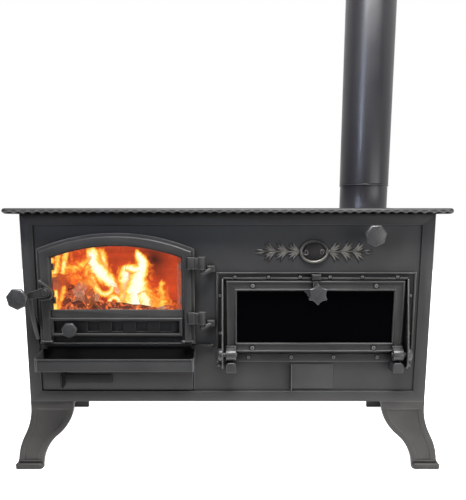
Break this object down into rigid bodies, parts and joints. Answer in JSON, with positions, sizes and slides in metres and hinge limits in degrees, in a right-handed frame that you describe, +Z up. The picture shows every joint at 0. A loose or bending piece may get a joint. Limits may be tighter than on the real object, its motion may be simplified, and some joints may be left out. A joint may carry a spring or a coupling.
{
  "type": "wood cookstove",
  "caption": "Wide wood cookstove with arched glass fire door, drop-down oven door, ash drawer, ember tray, rope-edged plate, cabriole legs and a flue pipe.",
  "frame": {"origin": "middle of the footprint, on the floor", "axes": "+X to the right seen from the front, +Y to the back, +Z up"},
  "size_m": [1.089, 0.6003, 1.222],
  "materials": {
    "body_paint": "matte high-temperature paint",
    "cast_door": "matte painted casting",
    "cooktop": "ground and painted casting",
    "flue_paint": "satin flue paint",
    "leg_cast": "matte painted casting",
    "knob_cast": "matte casting",
    "bright_steel": "worn blackened steel",
    "heat_glass": "clear glass ceramic",
    "oven_glass": "dark oven glass",
    "firebrick": "rough fired clay",
    "rope_gasket": "braided glass rope",
    "oven_enamel": "black enamel",
    "plain_steel": "mill finish",
    "ornament_cast": "antiqued casting"
  },
  "bodies": {
    "stove": {"side_panel_left": "body_paint", "side_panel_right": "body_paint", "front_frame": "body_paint", "front_panel": "body_paint", "back_panel": "body_paint", "base_panel": "body_paint", "plate_rim": "cooktop", "cooktop_plate": "cooktop", "flue_collar": "flue_paint", "flue_pipe": "flue_paint", "leg_bolts": "bright_steel", "firebox_shell": "plain_steel", "grate": "cast_door", "firebrick_sides": "firebrick", "firebrick_back": "firebrick", "drawer_runners": "plain_steel", "door_pintles": "cast_door", "latch_keeper": "cast_door", "tray_rod": "cast_door", "oven_box": "oven_enamel", "oven_rack": "bright_steel", "oven_surround": "cast_door", "oven_surround_screws": "cast_door", "oven_hinge_cheeks": "cast_door", "oven_hinge_pins": "knob_cast", "oven_stop_blocks": "knob_cast", "oven_catch": "cast_door", "damper_guides": "plain_steel", "ornament": "ornament_cast", "leg_front_left": "leg_cast", "leg_front_right": "leg_cast", "leg_rear_left": "leg_cast", "leg_rear_right": "leg_cast"},
    "fire_door": {"fire_door": "cast_door", "fire_door_glass": "heat_glass", "fire_glass_clips": "bright_steel", "fire_door_gasket": "rope_gasket", "fire_door_barrels": "cast_door", "latch_bolt": "cast_door"},
    "fire_latch": {"latch_arm": "cast_door", "latch_knob": "knob_cast"},
    "air_slider": {"air_slider": "cast_door", "air_knob": "knob_cast"},
    "ash_drawer": {"ash_drawer": "body_paint", "ash_drawer_handle": "body_paint"},
    "ember_tray": {"ember_tray": "body_paint"},
    "oven_door": {"oven_door": "cast_door", "oven_door_glass": "oven_glass", "oven_glass_clips": "plain_steel", "oven_door_screws": "cast_door", "oven_door_knuckles": "knob_cast"},
    "oven_knob": {"oven_knob": "knob_cast", "oven_latch_spindle": "cast_door"},
    "soot_cover": {"soot_cover": "body_paint"},
    "damper": {"damper_rod": "bright_steel", "damper_knob": "knob_cast", "damper_plate": "plain_steel"},
    "hob_ring": {"hob_ring": "cooktop"},
    "hob_lid": {"hob_lid": "cooktop"}
  },
  "joints": [
    {"name": "fire_door_swing", "type": "hinge", "parent": "stove", "child": "fire_door", "pos_m": [-0.062, -0.244, 0.45], "axis": [0, 0, 1], "range_deg": [0, 115]},
    {"name": "fire_latch_turn", "type": "hinge", "parent": "fire_door", "child": "fire_latch", "pos_m": [-0.4355, -0.262, 0.458], "axis": [0, 1, 0], "range_deg": [0, 30]},
    {"name": "air_slider_slide", "type": "slide", "parent": "fire_door", "child": "air_slider", "axis": [1, 0, 0], "range_m": [-0.021, 0.003]},
    {"name": "ash_drawer_slide", "type": "slide", "parent": "stove", "child": "ash_drawer", "axis": [0, -1, 0], "range_m": [0, 0.36]},
    {"name": "ember_tray_tip", "type": "hinge", "parent": "stove", "child": "ember_tray", "pos_m": [-0.27, -0.2215, 0.3205], "axis": [-1, 0, 0], "range_deg": [0, 20]},
    {"name": "oven_door_drop", "type": "hinge", "parent": "stove", "child": "oven_door", "pos_m": [0.2135, -0.242, 0.301], "axis": [1, 0, 0], "range_deg": [0, 90]},
    {"name": "oven_knob_turn", "type": "hinge", "parent": "oven_door", "child": "oven_knob", "pos_m": [0.213, -0.237, 0.455], "axis": [0, 1, 0], "range_deg": [0, 90]},
    {"name": "soot_cover_pull", "type": "slide", "parent": "stove", "child": "soot_cover", "axis": [0, -1, 0], "range_m": [0, 0.12]},
    {"name": "damper_pull", "type": "slide", "parent": "stove", "child": "damper", "axis": [0, -1, 0], "range_m": [0, 0.11]},
    {"name": "hob_ring_lift", "type": "slide", "parent": "stove", "child": "hob_ring", "axis": [0, 0, 1], "range_m": [0, 0.12]},
    {"name": "hob_lid_lift", "type": "slide", "parent": "hob_ring", "child": "hob_lid", "axis": [0, 0, 1], "range_m": [0, 0.1]}
  ]
}
